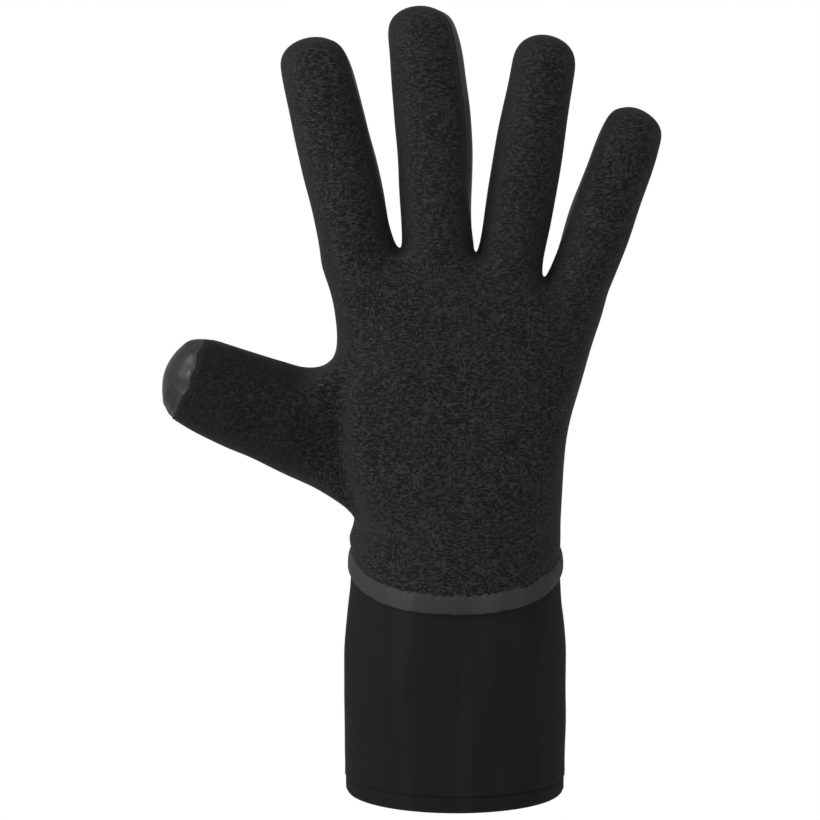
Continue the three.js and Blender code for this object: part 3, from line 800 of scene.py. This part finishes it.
def add_band(tape):
    """The seam tape: a low arch in section, flush at both edges. Its lower edge is clean and
    its upper edge follows the crinkles of the knit, a sum of short waves, but less so on
    the palm's rubber."""
    margins, offsets = np.array(BAND_SECTION).T
    margins = BAND_SEAT + margins * (FIT_GAP + BAND_THICKNESS - BAND_SEAT)
    offsets = offsets * BAND_WIDTH / 2
    rows = oval_rows(0 * margins, margins, SEAM_HEIGHT + offsets, 1 + 0 * margins,
                     BAND_COLUMNS)
    upper = smooth_step(offsets, BAND_RAGGED * BAND_WIDTH / 2, BAND_WIDTH / 2)[:, None]
    back = smooth_step(-rows[:1, :, 1], -BAND_TURN, BAND_TURN)
    knit = BAND_ON_RUBBER + (1 - BAND_ON_RUBBER) * back
    rows[..., 2] += soft_waves(rows[:1], EDGE_WAVES) * upper * knit
    rows[..., 2] += BAND_LOWER * soft_waves(rows[:1] / 2, EDGE_WAVES) * (1 - upper)
    points, faces = sleeve(rows)
    settle(make_mesh("glove_wrist_seam_band", points, faces), "wrist_seam_band",
           "band_rubber", tape)


def new_group(name, inputs, outputs):
    """A node group with named inputs and outputs, given as (name, kind, value)."""
    group = bpy.data.node_groups.new(name, "ShaderNodeTree")
    for label, kind, value in inputs:
        socket = group.interface.new_socket(label, in_out="INPUT", socket_type=kind)
        if value is not None:
            socket.default_value = value
    for label, kind in outputs:
        group.interface.new_socket(label, in_out="OUTPUT", socket_type=kind)
    return group


class Wiring:
    """Short hands for placing and joining a tree's nodes."""

    def __init__(self, tree):
        self.tree = tree

    def node(self, kind, **settings):
        node = self.tree.nodes.new(kind)
        for key, value in settings.items():
            setattr(node, key, value)
        return node

    def put(self, source, socket):
        if isinstance(source, bpy.types.NodeSocket):
            self.tree.links.new(source, socket)
        else:
            socket.default_value = source

    def math(self, operation, *values, clamp=False):
        node = self.node("ShaderNodeMath", operation=operation, use_clamp=clamp)
        for value, socket in zip(values, node.inputs):
            self.put(value, socket)
        return node.outputs[0]

    def linear(self, value, factor, offset):
        return self.math("ADD", self.math("MULTIPLY", value, factor), offset)

    def stored(self, name):
        return self.node("ShaderNodeAttribute", attribute_name=name).outputs["Fac"]

    def ramp(self, value, low, high):
        node = self.node("ShaderNodeMapRange", interpolation_type="SMOOTHSTEP")
        self.put(value, node.inputs["Value"])
        node.inputs["From Min"].default_value = low
        node.inputs["From Max"].default_value = high
        return node.outputs["Result"]

    def noise(self, vector, scale, detail, roughness=0.5, distortion=0.0):
        node = self.node("ShaderNodeTexNoise")
        self.put(vector, node.inputs["Vector"])
        self.put(scale, node.inputs["Scale"])
        node.inputs["Detail"].default_value = detail
        node.inputs["Roughness"].default_value = roughness
        node.inputs["Distortion"].default_value = distortion
        return node.outputs["Fac"]

    def scaled(self, vector, factors):
        node = self.node("ShaderNodeMapping")
        self.put(vector, node.inputs["Vector"])
        node.inputs["Scale"].default_value = factors
        return node.outputs["Vector"]

    def blend(self, share, one, two, kind="MIX"):
        node = self.node("ShaderNodeMix", data_type="RGBA", blend_type=kind)
        self.put(share, node.inputs[0])
        self.put(one, node.inputs[6])
        self.put(two, node.inputs[7])
        return node.outputs[2]


def grey(value):
    """A grey with its alpha."""
    return (value, value, value, 1)


def tinted(color, factor):
    """A colour made lighter by a factor, with its alpha."""
    return tuple(value * factor for value in color) + (1,)


def crinkle_group():
    """Crinkled knit: short wavy ridges that lie mostly level, a few that stand upright, painted
    glints on the tops of some, and pits between them, which the knit paints in shade."""
    group = new_group("crinkled_knit", [("Vector", "NodeSocketVector", None),
                                        ("Scale", "NodeSocketFloat", 1200.0)],
                      [("Height", "NodeSocketFloat"), ("PaintedGlints", "NodeSocketFloat"),
                       ("Pits", "NodeSocketFloat")])
    w = Wiring(group)
    start = w.node("NodeGroupInput").outputs
    end = w.node("NodeGroupOutput").inputs
    place, scale = start["Vector"], start["Scale"]
    level = w.noise(w.scaled(place, KNIT_LEVEL), scale, 1.0, 0.5, 0.35)
    upright = w.noise(w.scaled(place, KNIT_UPRIGHT), scale, 1.0, 0.5, 0.5)
    turn = w.ramp(w.noise(place, w.math("MULTIPLY", scale, TURN_SCALE), 0.0), *TURN_STEP)
    lying = w.math("MULTIPLY", w.ramp(level, *RIDGE_STEP), w.math("SUBTRACT", 1.0, turn))
    standing = w.math("MULTIPLY", w.ramp(upright, *RIDGE_STEP), turn)
    ridge = w.math("ADD", lying, standing)
    w.put(ridge, end["Height"])
    # Painted glints: bright specks on some of the ridge tops
    spots = w.ramp(w.noise(w.scaled(place, KNIT_SPOTS), scale, 0.0), *GLINT_STEP)
    w.put(w.math("MULTIPLY", ridge, spots), end["PaintedGlints"])
    # Pits between the ridges, which the knit's colour paints in shade
    holes = w.ramp(w.noise(w.scaled(place, KNIT_PITS), scale, 0.0), *PIT_STEP)
    w.put(w.math("MULTIPLY", w.math("SUBTRACT", 1.0, ridge), holes), end["Pits"])
    return group


def wear_group():
    """Uneven handling marks: a broad cloud and a fine grain."""
    group = new_group("handling_marks", [("Vector", "NodeSocketVector", None),
                                         ("Broad", "NodeSocketFloat", 28.0),
                                         ("Fine", "NodeSocketFloat", 900.0)],
                      [("Cloud", "NodeSocketFloat"), ("Grain", "NodeSocketFloat")])
    w = Wiring(group)
    start = w.node("NodeGroupInput").outputs
    end = w.node("NodeGroupOutput").inputs
    w.put(w.ramp(w.noise(start["Vector"], start["Broad"], 4.0, 0.55), 0.35, 0.65),
          end["Cloud"])
    w.put(w.noise(start["Vector"], start["Fine"], 3.0, 0.6), end["Grain"])
    return group


def new_material(name):
    """A material with a Principled shader, and the wiring of its tree."""
    material = bpy.data.materials.new(name)
    material.use_nodes = True
    w = Wiring(material.node_tree)
    return material, w, material.node_tree.nodes["Principled BSDF"]


def place_group(w, group, vector, **values):
    """A group's node in a material, with its own values."""
    node = w.node("ShaderNodeGroup", node_tree=group)
    w.put(vector, node.inputs["Vector"])
    for key, value in values.items():
        node.inputs[key].default_value = value
    return node.outputs


def bump(w, height, distance, strength, shader):
    """Raises the surface's shading by a height."""
    node = w.node("ShaderNodeBump")
    node.inputs["Distance"].default_value = distance
    node.inputs["Strength"].default_value = strength
    w.put(height, node.inputs["Height"])
    w.put(node.outputs["Normal"], shader.inputs["Normal"])


def fabric_material(crinkle, wear):
    """Black crinkled knit with its light and shade painted in: ridge tops in painted light,
    gaps and pits in painted shade, painted glints on some tops. The contrast falls where the
    skin turns away from the front; the cut edge beside the seam is plain and paler, a painted
    light rim, and the thumb's knit is darkened, a painted shade."""
    material, w, shader = new_material("crinkled_knit")
    where = w.node("ShaderNodeTexCoord").outputs["Object"]
    knit = place_group(w, crinkle, where, Scale=KNIT_SCALE)
    marks = place_group(w, wear, where, **KNIT_MARKS)
    inner = w.ramp(w.stored("seam"), *KNIT_EDGE)
    facing = w.ramp(w.stored("square"), *KNIT_FACING)
    strength = w.math("MULTIPLY", w.linear(facing, 1 - KNIT_KEPT, KNIT_KEPT),
                      w.linear(marks["Cloud"], KNIT_CLOUDED, 1 - KNIT_CLOUDED))
    ridges = w.linear(w.math("SUBTRACT", knit["Height"], RIDGE_MIDDLE), strength, RIDGE_LEVEL)
    # Ridge tops painted lighter and the low gaps painted darker: painted light and shade on the
    # knit
    base = w.blend(ridges, grey(GREY_PAINTED_SHADE_LOW), grey(GREY_PAINTED_LIGHT_RIDGE))
    # Painted glints on some ridge tops
    base = w.blend(w.math("MULTIPLY", knit["PaintedGlints"], strength), base, grey(GREY_PAINTED_GLINT))
    # Pits between the ridges painted darker: painted shade
    base = w.blend(w.math("MULTIPLY", knit["Pits"], strength), base, grey(GREY_PAINTED_SHADE_PIT))
    # The plain edge beside the seam painted paler: a painted light rim
    base = w.blend(inner, grey(GREY_PAINTED_RIM_EDGE), base)
    # The thumb's knit darkened: painted shade on the thumb
    base = w.blend(w.stored("thumb"), base, grey(THUMB_PAINTED_SHADE), "MULTIPLY")
    w.put(base, shader.inputs["Base Color"])
    shader.inputs["Roughness"].default_value = 0.8
    shader.inputs["Specular IOR Level"].default_value = 0.2
    shader.inputs["Sheen Weight"].default_value = 0.04
    shader.inputs["Sheen Roughness"].default_value = 0.35
    height = w.math("ADD", knit["Height"], w.math("MULTIPLY", marks["Grain"], KNIT_GRAIN))
    height = w.math("MULTIPLY", height, strength)
    bump(w, w.math("MULTIPLY", height, inner), KNIT_DEPTH, 1.0, shader)
    return material


def rubber_material(name, wear, color, roughness, specular, lighter):
    """Smooth rubber: a cloud of handling in its gloss, a paler lip beside the seam, partly glue
    and partly a painted highlight along the seam's edge, and the ragged edge of the knit
    lapping over it. The thumb's cap is glossier."""
    material, w, shader = new_material(name)
    where = w.node("ShaderNodeTexCoord").outputs["Object"]
    marks = place_group(w, wear, where, **RUBBER_MARKS)
    seam = w.stored("seam")
    ragged = w.linear(w.noise(where, LAP_SCALE, 1.0), LAP_SPREAD, LAP_START)
    lap = w.ramp(w.math("SUBTRACT", seam, ragged), *LAP_EDGE)
    # Pale lip beside the seam: partly a glue bead, partly a painted highlight along the edges
    near = w.math("MULTIPLY", w.ramp(seam, *GLUE_AND_HIGHLIGHT_REACH), lighter)
    base = w.blend(w.math("MULTIPLY", marks["Cloud"], RUBBER_CLOUD_SHARE), (*color, 1),
                   tinted(color, RUBBER_CLOUD))
    base = w.blend(near, base, tinted(color, GLUE_AND_HIGHLIGHT_PALER))
    w.put(w.blend(lap, base, grey(GREY_LAP)), shader.inputs["Base Color"])
    gloss = w.math("SUBTRACT", w.linear(marks["Cloud"], RUBBER_CLOUD_GLOSS, roughness),
                   w.math("MULTIPLY", w.stored("thumb"), CAP_GLOSS))
    duller = w.math("MULTIPLY", lap, LAP_DULLER)
    w.put(w.math("ADD", gloss, duller), shader.inputs["Roughness"])
    shader.inputs["Specular IOR Level"].default_value = specular
    bump(w, marks["Grain"], RUBBER_GRAIN, 0.5, shader)
    return material


def plain_rubber(name, wear, color, roughness, specular, grain):
    """Rubber skin without a seam of its own: cloud in colour and gloss, soft paler upright
    bands set by a stretched noise, and a fine grain."""
    material, w, shader = new_material(name)
    where = w.node("ShaderNodeTexCoord").outputs["Object"]
    marks = place_group(w, wear, where, **SKIN_MARKS)
    bands = w.ramp(w.noise(w.scaled(where, UPRIGHT_BAND_STRETCH), UPRIGHT_BAND_SCALE, 1.0), *UPRIGHT_BAND_STEP)
    base = w.blend(marks["Cloud"], (*color, 1), tinted(color, SKIN_CLOUD))
    w.put(w.blend(bands, base, tinted(color, UPRIGHT_BAND_PALER)), shader.inputs["Base Color"])
    w.put(w.linear(marks["Cloud"], SKIN_CLOUD_GLOSS, roughness), shader.inputs["Roughness"])
    shader.inputs["Specular IOR Level"].default_value = specular
    bump(w, marks["Grain"], grain, 0.5, shader)
    return material


def add_lights():
    """Soft square lamps that look at their aims."""
    for name, place, aim, size, power, color in LIGHTS:
        data = bpy.data.lights.new(name, "AREA")
        data.shape = "SQUARE"
        data.size = size
        data.energy = power
        data.color = color
        lamp = bpy.data.objects.new(name, data)
        place, aim = np.array(place, float), np.array(aim, float)
        x, y, z = (aim - place) / np.linalg.norm(aim - place)
        lamp.location = place * MM
        lamp.rotation_euler = (math.acos(-z), 0, math.atan2(y, x) - math.pi / 2)
        bpy.context.scene.collection.objects.link(lamp)


def by_camera(w, other, seen):
    """A mix that shows one shader to the camera and another to all other rays."""
    mix = w.node("ShaderNodeMixShader")
    w.put(w.node("ShaderNodeLightPath").outputs["Is Camera Ray"], mix.inputs[0])
    w.put(other, mix.inputs[1])
    w.put(seen, mix.inputs[2])
    return mix.outputs[0]


def add_surroundings():
    """A white studio: white to the eye, dimmer as a light, over a pale floor."""
    world = bpy.data.worlds.new("studio")
    world.use_nodes = True
    bpy.context.scene.world = world
    tree = world.node_tree
    tree.nodes.clear()
    w = Wiring(tree)
    seen = w.node("ShaderNodeBackground")
    light = w.node("ShaderNodeBackground")
    for background, strength in ((seen, 1.0), (light, WORLD_LIGHT)):
        background.inputs["Color"].default_value = (1, 1, 1, 1)
        background.inputs["Strength"].default_value = strength
    w.put(by_camera(w, light.outputs[0], seen.outputs[0]),
          w.node("ShaderNodeOutputWorld").inputs[0])

    material, w, shader = new_material("pale_floor")
    shader.inputs["Base Color"].default_value = (0.9, 0.9, 0.9, 1)
    shader.inputs["Roughness"].default_value = 0.8
    glow = w.node("ShaderNodeEmission")
    w.put(by_camera(w, shader.outputs[0], glow.outputs[0]),
          material.node_tree.nodes["Material Output"].inputs[0])
    corners = np.array([(x * FLOOR_HALF, y * FLOOR_HALF, FLOOR_DROP)
                        for x, y in ((-1, -1), (1, -1), (1, 1), (-1, 1))])
    floor = make_mesh("floor", corners, np.array([[0, 1, 2, 3]]))
    floor.data.materials.append(material)
    bpy.context.scene.view_settings.view_transform = "Standard"


def build_glove():
    """Every piece of the glove with its finish."""
    crinkle = crinkle_group()
    wear = wear_group()
    fabric = fabric_material(crinkle, wear)
    rubber = rubber_material("smooth_rubber", wear, *RUBBER)
    tape = plain_rubber("seam_tape", wear, *TAPE)
    skin = plain_rubber("cuff_skin", wear, *CUFF_SKIN)
    hem = plain_rubber("hem_skin", wear, *HEM_SKIN)
    lining = plain_rubber("lining", wear, *LINING)
    add_panels(fabric, rubber, lining)
    add_cuff(skin, lining)
    add_hem(hem)
    add_band(tape)


add_camera()
add_surroundings()
add_lights()
build_glove()
